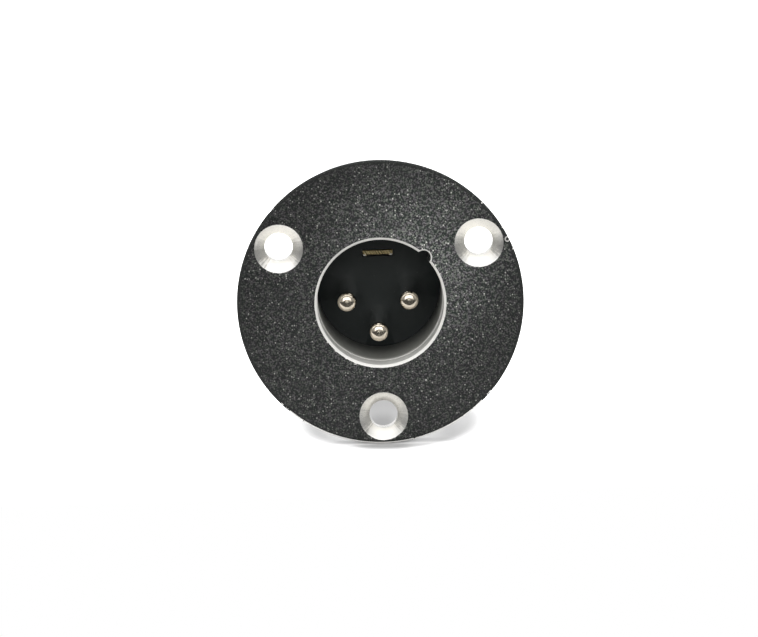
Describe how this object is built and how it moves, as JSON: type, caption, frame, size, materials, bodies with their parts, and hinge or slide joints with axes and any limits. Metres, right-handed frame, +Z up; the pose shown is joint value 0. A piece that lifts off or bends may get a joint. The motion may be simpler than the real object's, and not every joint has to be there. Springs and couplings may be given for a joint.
{
  "type": "panel mount xlr connector",
  "caption": "Male panel connector with a round countersunk flange, a deep socket with a keyway, recessed pins and rear solder cups.",
  "frame": {"origin": "on the connector's axis, in the plane of the flange's rear face, which seats on the panel", "axes": "+Y along the axis from the socket's mouth to the solder cups, +X to the right as seen from the front, +Z up towards the ground contact"},
  "size_m": [0.0358, 0.027, 0.0358],
  "materials": {
    "shell": "dark speckled coat on a zinc casting, bare and satin where it is machined",
    "insulator": "moulded, satin",
    "contacts": "silver plated",
    "ground_contact": "plated strip with a sheared end",
    "insert_screw": "plain steel"
  },
  "bodies": {
    "root": {"shell": "shell", "insulator": "insulator", "contact_1": "contacts", "contact_2": "contacts", "contact_3": "contacts", "ground_contact": "ground_contact", "insert_screw": "insert_screw"}
  },
  "joints": []
}
